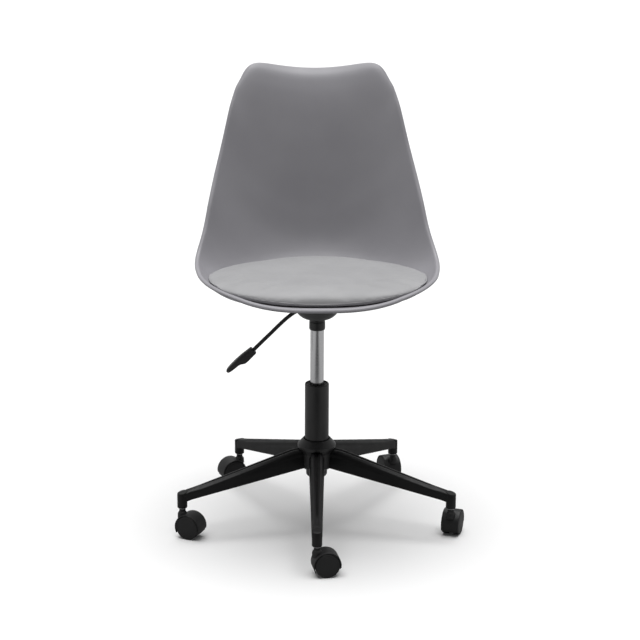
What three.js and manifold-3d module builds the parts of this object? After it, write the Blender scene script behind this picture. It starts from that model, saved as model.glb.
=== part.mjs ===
// Height-adjustable swivel chair: a moulded bucket shell with a loose seat pad on a gas column,
// standing on a five-arm steel base with twin-wheel casters.
// Units are millimetres, +Z is up, +Y points from the sitter's knees to the backrest.
import * as THREE from "three";
import { mergeVertices } from "three/addons/utils/BufferGeometryUtils.js";
import Module from "manifold-3d";

const wasm = await Module();
wasm.setup();

const { PI, abs, cos, sin, max, min, pow } = Math;
const DEG = PI / 180;

// ---------- driving dimensions ----------

// Where the middle of the footprint lies, seen from the column's axis.
const FOOTPRINT_SHIFT = { x: -5.9, y: 14.8 };

// Running gap between neighbouring pieces.
const GAP = 0.4;

// Bucket shell: wall, rolled rim, and the grid that its skin is sampled on.
const SHELL = {
  wall: 5,
  rimRadius: 3.5,
  rimFlange: 1,
  columns: 16,
  rows: 24,
  rimSteps: 2,
  earRise: 34,
};
// Centre line of the shell from the front lip, along the pan and up the back: [y, z].
const CENTRE_LINE = [
  [-219, 521],
  [-178, 514.5],
  [-130, 509],
  [-70, 504],
  [0, 501],
  [75, 502],
  [135, 519],
  [170, 560],
  [186, 625],
  [200, 715],
  [213, 788],
  [228, 848],
  [241, 882],
  [253.5, 904],
  [266.5, 915],
];
// Side rim of the shell, one point for each point of the centre line: [x, y, z].
const SIDE_RIM = [
  [151, -192, 534.5],
  [190, -163, 542.5],
  [219.5, -119, 548.5],
  [237, -48, 551.5],
  [241.5, 30, 563],
  [227, 78, 610],
  [216.5, 108, 660],
  [205.5, 140, 708],
  [190.5, 172, 768],
  [173.5, 201, 841],
  [166.5, 214, 865],
  [160.5, 224, 884],
  [157, 231, 893.5],
  [153.7, 238, 900],
  [150.5, 244.5, 905.5],
];

// Seat pad: an ellipse in plan, lying in the pan on a thin board.
const PAD = { centreY: -31, halfWidth: 222, halfDepth: 177, edgeZ: 536, crownZ: 548, clear: 6 };
const BOARD = { centreY: -5, halfWidth: 115, halfDepth: 88, bottomZ: 511, thick: 4 };

// Seat plate, its pressed dish and the four screws that hold the shell.
const PLATE = { width: 184, depth: 164, corner: 16, bottomZ: 482, thick: 3, mouth: 46 };
const SCREW = { x: 70, y: 60, shank: 3, head: 6, headDepth: 3.4, length: 13, bossRadius: 9 };
const DISH = { neck: 18, bulge: 31, drop: 37, wall: 2, flange: 56, topZ: 481.6 };
const LEVER_SLOT = { x: -45, z: 457, length: 24, height: 19, clear: 1.5 };
const TAPER_SOCKET = { radius: 16.5, bottomZ: 419, topZ: 455, lip: 2.5 };

// Height lever: a bent rod that pivots in the dish's slot.
const LEVER = { radius: 3.5, gripWidth: 18, gripBore: 24 };
const LEVER_PATH = [
  [11, 467],
  [-12, 466.6],
  [-42, 457.5],
  [-62, 443.5],
  [-98, 408.3],
  [-147.8, 358.4],
];

// Gas column.
const CYLINDER = { radius: 14, bore: 11, bottomZ: 236, topZ: 457 };
const BUTTON = { radius: 4, bottomZ: 438, topZ: 463 };
const ROD = { radius: 5, bottomZ: 99, pistonZ: 250, pistonRadius: 10.5, pistonDepth: 12 };
const TUBE = { radius: 25, wall: 2.1, topZ: 303, taperZ: 174, footRadius: 21.8, bottomZ: 101 };
const BUSH = { radius: 22.5, bottomZ: 255, topZ: 301.5 };

// Star base.
const HUB = { body: 37, ring: 40, lip: 28.5, topZ: 183, ringTopZ: 170.5, ringBottomZ: 163.5, bottomZ: 120 };
const ARM = {
  count: 5,
  turnDeg: -1.5,
  innerR: 30,
  outerR: 287,
  wall: 2.2,
  topAtHub: 166.5,
  topFall: 0.279,
  bottomAtHub: 123.5,
  bottomFall: 0.18,
  halfWidthAtHub: 15.5,
  halfWidthAtTip: 10,
  groove: 4,
  grooveEndR: 278,
  stations: 6,
};
const SOCKET = { circle: 290.7, radius: 10.3, bore: 5.9, bottomZ: 62.6, boreTopZ: 87 };

// Twin-wheel casters: the trail is the distance from the stem to the axle.
const WHEEL = { radius: 25, innerY: 5, outerY: 18.3, axle: 4, segments: 20 };
const CASTER = {
  trail: 18.5,
  webHalf: 4,
  hoodIn: 25.9,
  hoodOut: 27.7,
  hoodHalf: 18,
  hoodFromDeg: -12,
  hoodToDeg: 208,
  neck: 6.5,
  neckTopZ: 60.4,
  neckBottomZ: 51,
  bossBottomZ: 38,
  bossTopZ: 53,
};
const STEM = { pin: 5.5, lowerPin: 3.9, flange: 8.2, bottomZ: 47, topZ: 85 };
// Which way each caster trails, from the front one anticlockwise.
const TRAIL_DEG = [8.6, 70.1, 111.2, 204.3, -26.1];

// ---------- materials ----------

function finish(colour, roughness, metalness) {
  return new THREE.MeshStandardMaterial({ color: colour, roughness, metalness });
}

const SHELL_PLASTIC = finish(0x8a888f, 0.42, 0);
const PAD_LEATHER = finish(0x9d9ca0, 0.55, 0);
const BOARD_WOOD = finish(0x9a7b55, 0.7, 0);
const BLACK_STEEL = finish(0x1f1f20, 0.45, 0.3);
const BRIGHT_STEEL = finish(0xb9b9bb, 0.3, 1);
const CHROME = finish(0xcfcfd2, 0.12, 1);
const BLACK_PLASTIC = finish(0x1a1a1b, 0.5, 0);
const RUBBER = finish(0x151515, 0.8, 0);

// ---------- shape tools ----------

// A closed geometry as a solid that can be joined and cut.
function solid(geometry) {
  const bare = geometry.clone();
  bare.deleteAttribute("normal");
  bare.deleteAttribute("uv");
  const merged = mergeVertices(bare, 1e-3);
  return new wasm.Manifold(
    new wasm.Mesh({
      numProp: 3,
      vertProperties: merged.attributes.position.array,
      triVerts: new Uint32Array(merged.index.array),
    }),
  );
}

// A solid as a geometry again.
function geometryOf(body) {
  const mesh = body.getMesh();
  const geometry = new THREE.BufferGeometry();
  geometry.setAttribute("position", new THREE.BufferAttribute(mesh.vertProperties, 3));
  geometry.setIndex(new THREE.BufferAttribute(mesh.triVerts, 1));
  geometry.computeVertexNormals();
  return geometry;
}

// Turns a profile of [radius, z] points about the Z axis.
function turned(profile, segments) {
  const points = profile.map(([r, z]) => new THREE.Vector2(r, z));
  return new THREE.LatheGeometry(points, segments).rotateX(PI / 2);
}

// A ring with a plain rectangular section.
function ring(inner, outer, low, high, segments) {
  return turned(
    [
      [inner, low],
      [outer, low],
      [outer, high],
      [inner, high],
      [inner, low],
    ],
    segments,
  );
}

// An upright cylinder at (x, y).
function pillar(radius, low, high, x, y, segments) {
  const body = new THREE.CylinderGeometry(radius, radius, high - low, segments);
  return body.rotateX(PI / 2).translate(x, y, (low + high) / 2);
}

// Joins closed loops of points into one skin, with a cap on each end.
function loft(loops, flatten) {
  const size = loops[0].length;
  const positions = loops.flat().flatMap((p) => [p.x, p.y, p.z]);
  const index = [];
  for (let k = 0; k + 1 < loops.length; k++) {
    for (let i = 0; i < size; i++) {
      const a = k * size + i;
      const b = k * size + ((i + 1) % size);
      index.push(a, b, b + size, a, b + size, a + size);
    }
  }
  const cap = THREE.ShapeUtils.triangulateShape(loops[0].map(flatten), []);
  const last = (loops.length - 1) * size;
  for (const [a, b, c] of cap) {
    index.push(a, c, b);
    index.push(last + a, last + b, last + c);
  }
  const geometry = new THREE.BufferGeometry();
  geometry.setAttribute("position", new THREE.Float32BufferAttribute(positions, 3));
  geometry.setIndex(index);
  return geometry;
}

function lerp(a, b, t) {
  return a + (b - a) * t;
}

function smooth(low, high, value) {
  return THREE.MathUtils.smoothstep(value, low, high);
}

// ---------- bucket shell ----------

const centreCurve = new THREE.CatmullRomCurve3(
  CENTRE_LINE.map(([y, z]) => new THREE.Vector3(0, y, z)),
  false,
  "centripetal",
);
const rimCurve = new THREE.CatmullRomCurve3(
  SIDE_RIM.map((p) => new THREE.Vector3(...p)),
  false,
  "centripetal",
);

// The middle of the shell's wall: u runs across from -1 to 1, v from the front lip to the top.
// The pan is flat with steep sides, the back is an even curve, and the top edge has two low ears.
function shellPoint(u, v) {
  const across = abs(u);
  const c = centreCurve.getPoint(min(max(v, 0), 1));
  const r = rimCurve.getPoint(min(max(v, 0), 1));
  const bow = lerp(2.9, 2.2, smooth(0, 0.12, v));
  const rise = lerp(2.8, 6, smooth(0, 0.16, v)) - 3.8 * smooth(0.3, 0.57, v);
  const ears = SHELL.earRise * smooth(0.66, 1, v) * (pow(across, 2) - pow(across, 10));
  return new THREE.Vector3(
    r.x * u,
    lerp(c.y, r.y, pow(across, bow)),
    lerp(c.z, r.z, pow(across, rise)) + ears,
  );
}

// The wall's normal, on the sitter's side.
function shellNormal(u, v) {
  const step = 0.004;
  const along = shellPoint(min(u + step, 1), v).sub(shellPoint(max(u - step, -1), v));
  const up = shellPoint(u, min(v + step, 1)).sub(shellPoint(u, max(v - step, 0)));
  return along.cross(up).normalize();
}

// Height of the pan's upper face at a point in plan.
function panHeight(x, y) {
  let low = 0;
  let high = 0.49;
  let u = 0;
  for (let i = 0; i < 30; i++) {
    const v = (low + high) / 2;
    u = min(abs(x) / rimCurve.getPoint(v).x, 1);
    if (shellPoint(u, v).y < y) low = v;
    else high = v;
  }
  return shellPoint(u, low).z + SHELL.wall / 2 / max(shellNormal(u, low).z, 0.5);
}

// Rows of the skin beyond its edge: the rim rolls outwards and ends in a short flange.
function rimRings(points, normals, edge) {
  const rings = [];
  const steps = SHELL.rimSteps;
  for (let k = 1; k <= steps + 1; k++) {
    const turn = (min(k, steps) / steps) * (PI / 2);
    const flange = k > steps ? SHELL.rimFlange : 0;
    rings.push(
      edge.map((id, i) => {
        const before = points[edge[(i + edge.length - 1) % edge.length]];
        const after = points[edge[(i + 1) % edge.length]];
        const normal = normals[id];
        const out = after.clone().sub(before).cross(normal).normalize();
        const middle = points[id].clone();
        middle.addScaledVector(out, SHELL.rimRadius * sin(turn));
        middle.addScaledVector(normal, -SHELL.rimRadius * (1 - cos(turn)) - flange);
        const facing = normal.clone().multiplyScalar(cos(turn)).addScaledVector(out, sin(turn));
        return { middle, facing };
      }),
    );
  }
  return rings;
}

function shellSkin() {
  const { columns, rows, wall } = SHELL;
  const points = [];
  const normals = [];
  for (let j = 0; j <= rows; j++) {
    for (let i = 0; i <= columns; i++) {
      const u = sin(((2 * i) / columns - 1) * (PI / 2));
      points.push(shellPoint(u, j / rows));
      normals.push(shellNormal(u, j / rows));
    }
  }
  const at = (i, j) => j * (columns + 1) + i;
  const edge = [];
  for (let i = 0; i < columns; i++) edge.push(at(i, 0));
  for (let j = 0; j < rows; j++) edge.push(at(columns, j));
  for (let i = columns; i > 0; i--) edge.push(at(i, rows));
  for (let j = rows; j > 0; j--) edge.push(at(0, j));

  const rings = rimRings(points, normals, edge);
  const middles = [...points, ...rings.flat().map((r) => r.middle)];
  const facings = [...normals, ...rings.flat().map((r) => r.facing)];
  const face = [];
  const back = [];
  middles.forEach((p, i) => {
    face.push(p.clone().addScaledVector(facings[i], wall / 2));
    back.push(p.clone().addScaledVector(facings[i], -wall / 2));
  });

  const count = middles.length;
  const index = [];
  const quad = (a, b, c, d) => {
    index.push(a, b, c, a, c, d);
    index.push(count + a, count + c, count + b, count + a, count + d, count + c);
  };
  for (let j = 0; j < rows; j++) {
    for (let i = 0; i < columns; i++) {
      quad(at(i, j), at(i + 1, j), at(i + 1, j + 1), at(i, j + 1));
    }
  }
  const ringId = (k, i) =>
    k < 0 ? edge[i % edge.length] : points.length + k * edge.length + (i % edge.length);
  for (let k = -1; k + 1 < rings.length; k++) {
    for (let i = 0; i < edge.length; i++) {
      quad(ringId(k, i), ringId(k + 1, i), ringId(k + 1, i + 1), ringId(k, i + 1));
    }
  }
  const last = rings.length - 1;
  for (let i = 0; i < edge.length; i++) {
    const a = ringId(last, i);
    const b = ringId(last, i + 1);
    index.push(a, count + a, count + b, a, count + b, b);
  }
  const geometry = new THREE.BufferGeometry();
  const flat = [...face, ...back].flatMap((p) => [p.x, p.y, p.z]);
  geometry.setAttribute("position", new THREE.Float32BufferAttribute(flat, 3));
  geometry.setIndex(index);
  return solid(geometry);
}

const screwPlaces = [
  [SCREW.x, SCREW.y],
  [-SCREW.x, SCREW.y],
  [-SCREW.x, -SCREW.y],
  [SCREW.x, -SCREW.y],
];
const plateTopZ = PLATE.bottomZ + PLATE.thick;

// The shell with the four bosses moulded under its pan.
function shellGeometry() {
  let body = shellSkin();
  for (const [x, y] of screwPlaces) {
    const panMiddle = panHeight(x, y) - SHELL.wall / 2;
    body = body.add(solid(pillar(SCREW.bossRadius, plateTopZ + GAP, panMiddle, x, y, 16)));
    const boreTop = PLATE.bottomZ - GAP + SCREW.length + GAP;
    body = body.subtract(solid(pillar(SCREW.shank + GAP, plateTopZ - 1, boreTop, x, y, 12)));
  }
  return geometryOf(body);
}

// ---------- seat pad ----------

// A round-cornered slab in plan rings: the crowned top, the rolled edge and the fitted underside.
function padGeometry() {
  const around = 36;
  const underside = (x, y) =>
    max(BOARD.bottomZ + BOARD.thick + GAP, panHeight(x, y) + PAD.clear);
  const place = (scale, angle) => ({
    x: PAD.halfWidth * scale * cos(angle),
    y: PAD.centreY + PAD.halfDepth * scale * sin(angle),
  });
  const topZ = (scale, x, y) => {
    const crown = lerp(PAD.edgeZ, PAD.crownZ, pow(1 - pow(scale, 6), 0.8));
    return max(crown, underside(x, y) + 2.5);
  };
  const rings = [];
  for (const scale of [0.5, 0.8, 0.93, 1]) {
    rings.push([scale, true]);
  }
  for (const scale of [0.985, 0.8, 0.5]) {
    rings.push([scale, false]);
  }
  const positions = [];
  for (const [scale, isTop] of rings) {
    for (let i = 0; i < around; i++) {
      const { x, y } = place(scale, (i / around) * 2 * PI);
      const z = isTop ? topZ(scale, x, y) : underside(x, y);
      positions.push(x, y, z);
    }
  }
  const index = [];
  for (let k = 0; k + 1 < rings.length; k++) {
    for (let i = 0; i < around; i++) {
      const a = k * around + i;
      const b = k * around + ((i + 1) % around);
      index.push(a, a + around, b + around, a, b + around, b);
    }
  }
  const topPole = positions.length / 3;
  positions.push(0, PAD.centreY, PAD.crownZ);
  positions.push(0, PAD.centreY, underside(0, PAD.centreY));
  const lastRing = (rings.length - 1) * around;
  for (let i = 0; i < around; i++) {
    const j = (i + 1) % around;
    index.push(topPole, i, j);
    index.push(topPole + 1, lastRing + j, lastRing + i);
  }
  const geometry = new THREE.BufferGeometry();
  geometry.setAttribute("position", new THREE.Float32BufferAttribute(positions, 3));
  geometry.setIndex(index);
  return geometry;
}

function boardGeometry() {
  const outline = new THREE.Shape();
  outline.absellipse(0, BOARD.centreY, BOARD.halfWidth, BOARD.halfDepth, 0, 2 * PI);
  const slab = new THREE.ExtrudeGeometry(outline, {
    depth: BOARD.thick,
    bevelEnabled: false,
    curveSegments: 14,
  });
  return slab.translate(0, 0, BOARD.bottomZ);
}

// ---------- seat plate and dish ----------

function plateGeometry() {
  const w = PLATE.width / 2;
  const d = PLATE.depth / 2;
  const c = PLATE.corner;
  const outline = new THREE.Shape();
  outline.moveTo(w, -d + c);
  outline.lineTo(w, d - c);
  outline.absarc(w - c, d - c, c, 0, PI / 2);
  outline.absarc(-w + c, d - c, c, PI / 2, PI);
  outline.absarc(-w + c, -d + c, c, PI, 1.5 * PI);
  outline.absarc(w - c, -d + c, c, 1.5 * PI, 2 * PI);
  const cut = (x, y, radius) => {
    const hole = new THREE.Path();
    hole.absarc(x, y, radius, 0, 2 * PI, true);
    outline.holes.push(hole);
  };
  cut(0, 0, PLATE.mouth);
  screwPlaces.forEach(([x, y]) => cut(x, y, SCREW.shank + GAP));
  const sheet = new THREE.ExtrudeGeometry(outline, {
    depth: PLATE.thick,
    bevelEnabled: false,
    curveSegments: 5,
  });
  return sheet.translate(0, 0, PLATE.bottomZ);
}

// A pressed bowl with a flange at the top, a hole for the column and a slot for the lever.
function dishGeometry() {
  const { neck, bulge, drop, wall, flange, topZ } = DISH;
  const steps = 4;
  const rimZ = topZ - wall;
  const outside = [];
  const inside = [];
  for (let i = 0; i <= steps; i++) {
    const turn = (i / steps) * (PI / 2);
    outside.push([neck + bulge * sin(turn), rimZ - drop * cos(turn)]);
    inside.push([neck + (bulge - wall) * sin(turn), rimZ - (drop - wall) * cos(turn)]);
  }
  const hole = TAPER_SOCKET.radius + GAP;
  const profile = [
    [hole, rimZ - drop],
    ...outside,
    [flange, rimZ],
    [flange, topZ],
    [neck + bulge - wall, topZ],
    ...inside.reverse(),
    [hole, rimZ - drop + wall],
    [hole, rimZ - drop],
  ];
  const { x, z, length, height, clear } = LEVER_SLOT;
  const slot = new THREE.BoxGeometry(length, 2 * (LEVER.radius + clear), height).translate(x, 0, z);
  return geometryOf(solid(turned(profile, 24)).subtract(solid(slot)));
}

function taperSocketGeometry() {
  const { radius, bottomZ, topZ, lip } = TAPER_SOCKET;
  const bore = CYLINDER.radius + GAP;
  return turned(
    [
      [bore, bottomZ],
      [radius - lip / 2, bottomZ],
      [radius, bottomZ + lip],
      [radius, topZ],
      [bore, topZ],
      [bore, bottomZ],
    ],
    24,
  );
}

function screwGeometry(x, y) {
  const headZ = PLATE.bottomZ - GAP;
  const profile = [
    [0, headZ - SCREW.headDepth],
    [SCREW.head - 1, headZ - SCREW.headDepth],
    [SCREW.head, headZ - SCREW.headDepth + 1],
    [SCREW.head, headZ],
    [SCREW.shank, headZ],
    [SCREW.shank, headZ + SCREW.length],
    [0, headZ + SCREW.length],
  ];
  return turned(profile, 10).translate(x, y, 0);
}

// ---------- height lever ----------

function leverRodGeometry() {
  const points = LEVER_PATH.map(([x, z]) => new THREE.Vector3(x, 0, z));
  const path = new THREE.CatmullRomCurve3(points, false, "centripetal");
  const section = new THREE.Shape();
  section.absarc(0, 0, LEVER.radius, 0, 2 * PI);
  return new THREE.ExtrudeGeometry(section, {
    extrudePath: path,
    steps: 14,
    curveSegments: 4,
  });
}

// The grip: a block at the rod's end that thins to a round-ended paddle.
function gripGeometry() {
  const outline = new THREE.Shape();
  outline.moveTo(2.4, -6.1);
  outline.lineTo(29, -6.6);
  outline.quadraticCurveTo(34.5, -6.6, 37.5, -2.6);
  outline.quadraticCurveTo(39.5, 0.4, 44, 0.9);
  outline.lineTo(65, 2.8);
  outline.absarc(67.5, 6, 2.9, -PI / 2, PI / 2);
  outline.quadraticCurveTo(44, 10.6, 26, 9);
  outline.lineTo(2.4, 6.1);
  outline.closePath();
  const bevel = 2.4;
  const block = new THREE.ExtrudeGeometry(outline, {
    depth: LEVER.gripWidth - 2 * bevel,
    bevelThickness: bevel,
    bevelSize: bevel,
    bevelOffset: -bevel,
    bevelSegments: 1,
    curveSegments: 5,
  });
  block.translate(0, 0, bevel - LEVER.gripWidth / 2);
  const bore = new THREE.CylinderGeometry(LEVER.radius + GAP, LEVER.radius + GAP, 60, 16);
  bore.rotateZ(PI / 2).translate(LEVER.gripBore + GAP - 30, 0, 0);
  const body = geometryOf(solid(block).subtract(solid(bore)));
  // The outline's x runs down the rod and its y points up and away from the seat.
  const [tipX, tipZ] = LEVER_PATH.at(-1);
  const [bendX, bendZ] = LEVER_PATH.at(-2);
  const down = new THREE.Vector3(tipX - bendX, 0, tipZ - bendZ).normalize();
  const side = new THREE.Vector3(0, 1, 0);
  const up = side.clone().cross(down);
  const start = new THREE.Vector3(tipX, 0, tipZ).addScaledVector(down, -LEVER.gripBore);
  const frame = new THREE.Matrix4().makeBasis(down, up, side).setPosition(start);
  return body.applyMatrix4(frame);
}

// ---------- gas column ----------

function cylinderGeometry() {
  const { radius, bore, bottomZ, topZ } = CYLINDER;
  const endWall = 10;
  return turned(
    [
      [ROD.radius + GAP, bottomZ],
      [radius - 1, bottomZ],
      [radius, bottomZ + 1],
      [radius, topZ - 1],
      [radius - 1, topZ],
      [BUTTON.radius + GAP, topZ],
      [BUTTON.radius + GAP, topZ - endWall],
      [bore, topZ - endWall],
      [bore, bottomZ + endWall],
      [ROD.radius + GAP, bottomZ + endWall],
      [ROD.radius + GAP, bottomZ],
    ],
    24,
  );
}

function buttonGeometry() {
  const { radius, bottomZ, topZ } = BUTTON;
  return turned(
    [
      [0, bottomZ],
      [radius, bottomZ],
      [radius, topZ - 1],
      [radius - 1, topZ],
      [0, topZ],
    ],
    12,
  );
}

function rodGeometry() {
  const { radius, bottomZ, pistonZ, pistonRadius, pistonDepth } = ROD;
  return turned(
    [
      [0, bottomZ],
      [radius - 1, bottomZ],
      [radius, bottomZ + 1],
      [radius, pistonZ],
      [pistonRadius, pistonZ],
      [pistonRadius, pistonZ + pistonDepth],
      [0, pistonZ + pistonDepth],
    ],
    16,
  );
}

// The stand tube: straight above the hub, tapered inside it, with a flanged foot.
function tubeGeometry() {
  const { radius, wall, topZ, taperZ, footRadius, bottomZ } = TUBE;
  const flangeZ = bottomZ + 3.5;
  const flangeTopZ = flangeZ + 2.5;
  const bevel = 1.5;
  return turned(
    [
      [ROD.radius + GAP, flangeZ],
      [footRadius - 5, flangeZ],
      [footRadius - 4, bottomZ],
      [footRadius - 2, bottomZ],
      [footRadius, bottomZ + 3],
      [footRadius + 0.6, HUB.bottomZ],
      [radius, taperZ],
      [radius, topZ - bevel],
      [radius - bevel, topZ],
      [radius - wall, topZ],
      [radius - wall, taperZ],
      [footRadius - wall, flangeTopZ + 1],
      [footRadius - wall - 1, flangeTopZ],
      [ROD.radius + GAP, flangeTopZ],
      [ROD.radius + GAP, flangeZ],
    ],
    28,
  );
}

function bushGeometry() {
  const bore = CYLINDER.radius + GAP;
  return turned(
    [
      [bore, BUSH.bottomZ],
      [BUSH.radius, BUSH.bottomZ],
      [BUSH.radius, BUSH.topZ],
      [bore + 3, BUSH.topZ],
      [bore, BUSH.topZ - 3],
      [bore, BUSH.bottomZ],
    ],
    24,
  );
}

// The small parts on the rod's foot, from the clip up: [name, inner, outer, low, high].
const rodFoot = TUBE.bottomZ + 6;
const ROD_PARTS = [
  ["retaining_clip", 9, TUBE.bottomZ + 0.8, TUBE.bottomZ + 3.1, BRIGHT_STEEL],
  ["thrust_bearing", 10, rodFoot + GAP, rodFoot + 5, BRIGHT_STEEL],
  ["bearing_washer", 10.5, rodFoot + 5 + GAP, rodFoot + 7, BRIGHT_STEEL],
  ["rubber_bumper", 10.5, rodFoot + 7 + GAP, rodFoot + 19, RUBBER],
];

// ---------- star base ----------

// How far the hub's ring narrows down to its body, and the room that tools need beyond a piece.
const HUB_STEP = 2;
const TOOL_REACH = 40;

function hubGeometry() {
  const bore = TUBE.radius + GAP;
  const footBore = TUBE.footRadius + 0.6 + GAP;
  return turned(
    [
      [footBore, HUB.bottomZ],
      [HUB.body - 6, HUB.bottomZ],
      [HUB.body, HUB.bottomZ + 5],
      [HUB.body, HUB.ringBottomZ - HUB_STEP],
      [HUB.ring, HUB.ringBottomZ],
      [HUB.ring, HUB.ringTopZ],
      [HUB.lip, HUB.topZ],
      [HUB.lip - 1, HUB.topZ],
      [bore, HUB.topZ - 6],
      [bore, TUBE.taperZ],
      [footBore, HUB.bottomZ],
    ],
    30,
  );
}

function armTop(r) {
  return ARM.topAtHub - ARM.topFall * (r - HUB.body);
}

// Section of an arm at radius r: a channel, open below, with a groove between two round ridges.
function armSection(r) {
  const t = (r - HUB.body) / (SOCKET.circle - HUB.body);
  const w = lerp(ARM.halfWidthAtHub, ARM.halfWidthAtTip, t);
  const top = armTop(r);
  const bottom = ARM.bottomAtHub - ARM.bottomFall * (r - HUB.body);
  const depth = ARM.groove * (1 - smooth(0.82, 1, r / ARM.grooveEndR));
  const inner = w - ARM.wall;
  const right = [
    [w + 0.5, bottom],
    [w, top - 8],
    [w * 0.86, top - 2.2],
    [w * 0.56, top],
    [w * 0.22, top - depth * 0.7],
    [0, top - depth],
  ];
  const left = right.slice(0, -1).reverse().map(([s, z]) => [-s, z]);
  const hollow = [
    [-inner, bottom],
    [-inner + 0.5, top - 8.5],
    [-inner * 0.6, top - depth - ARM.wall],
    [inner * 0.6, top - depth - ARM.wall],
    [inner - 0.5, top - 8.5],
    [inner, bottom],
  ];
  return [...right, ...left, ...hollow].map(([s, z]) => new THREE.Vector3(r, s, z));
}

// One arm along +X, cut to fit round the hub and round its caster socket.
function armGeometry() {
  const sections = [];
  for (let i = 0; i < ARM.stations; i++) {
    sections.push(armSection(lerp(ARM.innerR, ARM.outerR, i / (ARM.stations - 1))));
  }
  const beam = solid(loft(sections, (p) => new THREE.Vector2(p.y, p.z)));
  const low = SOCKET.bottomZ - TOOL_REACH;
  const high = HUB.topZ + TOOL_REACH;
  const ringLow = HUB.ringBottomZ - HUB_STEP - GAP;
  const bodyCut = solid(pillar(HUB.body + GAP, low, high, 0, 0, 40));
  const ringCut = solid(pillar(HUB.ring + GAP, ringLow, high, 0, 0, 40));
  const tipCut = solid(pillar(SOCKET.radius + GAP, low, high, SOCKET.circle, 0, 20));
  return geometryOf(beam.subtract(bodyCut).subtract(ringCut).subtract(tipCut));
}

// An upright socket whose top is cut to the arm's slope.
function socketGeometry() {
  const { circle, radius, bore, bottomZ, boreTopZ } = SOCKET;
  const post = solid(pillar(radius, bottomZ, armTop(circle) + TOOL_REACH, circle, 0, 20));
  const hole = solid(pillar(bore, bottomZ - 5, boreTopZ, circle, 0, 12));
  const slope = new THREE.BoxGeometry(2 * TOOL_REACH, 60, 60).translate(0, 0, 30);
  slope.rotateY(Math.atan(ARM.topFall)).translate(circle, 0, armTop(circle));
  return geometryOf(post.subtract(hole).subtract(solid(slope)));
}

// ---------- casters, with the stem's axis on Z and the wheels trailing along +X ----------

// An upright sector of a disc or a ring about the axle, across the caster.
function axleSector(inner, outer, half, segments) {
  const from = CASTER.hoodFromDeg * DEG;
  const to = CASTER.hoodToDeg * DEG;
  const outline = new THREE.Shape();
  outline.absarc(0, 0, outer, from, to, false);
  if (inner > 0) outline.absarc(0, 0, inner, to, from, true);
  outline.closePath();
  const slab = new THREE.ExtrudeGeometry(outline, {
    depth: 2 * half,
    bevelEnabled: false,
    curveSegments: segments,
  });
  return slab.rotateX(PI / 2).translate(CASTER.trail, half, WHEEL.radius);
}

// A cylinder about the axle from y = low to y = high.
function axleDisc(radius, low, high, segments) {
  const disc = new THREE.CylinderGeometry(radius, radius, high - low, segments);
  return disc.translate(CASTER.trail, (low + high) / 2, WHEEL.radius);
}

function hoodGeometry() {
  const { webHalf, hoodIn, hoodOut, hoodHalf, neck, neckTopZ, neckBottomZ } = CASTER;
  const wheelRoom = solid(axleDisc(hoodIn, -hoodHalf, hoodHalf, 18));
  const root = solid(pillar(neck + 2.5, CASTER.bossBottomZ, CASTER.bossTopZ, 0, 0, 12));
  const boss = root.subtract(wheelRoom);
  const collar = solid(pillar(neck, neckBottomZ, neckTopZ, 0, 0, 12));
  const web = solid(axleSector(0, hoodIn + 0.8, webHalf, 12));
  let body = solid(axleSector(hoodIn, hoodOut, hoodHalf, 12));
  body = body.add(web).add(boss).add(collar);
  body = body.subtract(solid(axleDisc(WHEEL.axle + GAP, -10, 10, 12)));
  const hole = pillar(STEM.lowerPin + GAP, STEM.bottomZ - GAP, neckTopZ + 2, 0, 0, 10);
  return geometryOf(body.subtract(solid(hole)));
}

// The stem is pushed up into its socket, and the hood swivels on the thin pin below its flange.
function stemGeometry() {
  return turned(
    [
      [0, STEM.bottomZ],
      [STEM.lowerPin, STEM.bottomZ],
      [STEM.lowerPin, CASTER.neckTopZ + GAP],
      [STEM.flange, CASTER.neckTopZ + GAP],
      [STEM.flange, SOCKET.bottomZ - GAP],
      [STEM.pin, SOCKET.bottomZ - GAP],
      [STEM.pin, STEM.topZ - 2],
      [STEM.pin - 2, STEM.topZ],
      [0, STEM.topZ],
    ],
    12,
  );
}

function axleGeometry() {
  const half = WHEEL.outerY - 4;
  return axleDisc(WHEEL.axle, -half, half, 12);
}

// One wheel with a flat facet on the floor; side is 1 or -1 along the axle.
function wheelGeometry(side) {
  const rim = WHEEL.radius / cos(PI / WHEEL.segments);
  const { innerY, outerY, axle } = WHEEL;
  const boreEnd = outerY - 3.4;
  const profile = [
    [axle + GAP, innerY],
    [rim, innerY],
    [rim, outerY - 1.5],
    [rim - 1.5, outerY],
    [0, outerY],
    [0, boreEnd],
    [axle + GAP, boreEnd],
    [axle + GAP, innerY],
  ];
  const wheel = turned(profile, WHEEL.segments).rotateZ(PI / WHEEL.segments);
  return wheel.rotateX((-side * PI) / 2).translate(CASTER.trail, 0, WHEEL.radius);
}

// ---------- assembly ----------

const chair = new THREE.Group();

function place(parent, name, geometry, material) {
  const mesh = new THREE.Mesh(geometry, material);
  mesh.name = name;
  parent.add(mesh);
  return mesh;
}

const seat = new THREE.Group();
chair.add(seat);
place(seat, "shell", shellGeometry(), SHELL_PLASTIC);
place(seat, "seat_cushion", padGeometry(), PAD_LEATHER);
place(seat, "cushion_board", boardGeometry(), BOARD_WOOD);
place(seat, "seat_plate", plateGeometry(), BLACK_STEEL);
place(seat, "plate_dish", dishGeometry(), BLACK_STEEL);
place(seat, "taper_socket", taperSocketGeometry(), BLACK_STEEL);
screwPlaces.forEach(([x, y], i) => {
  place(seat, `plate_screw_${i + 1}`, screwGeometry(x, y), BRIGHT_STEEL);
});
place(seat, "lever_rod", leverRodGeometry(), BLACK_STEEL);
place(seat, "lever_grip", gripGeometry(), BLACK_PLASTIC);

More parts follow.
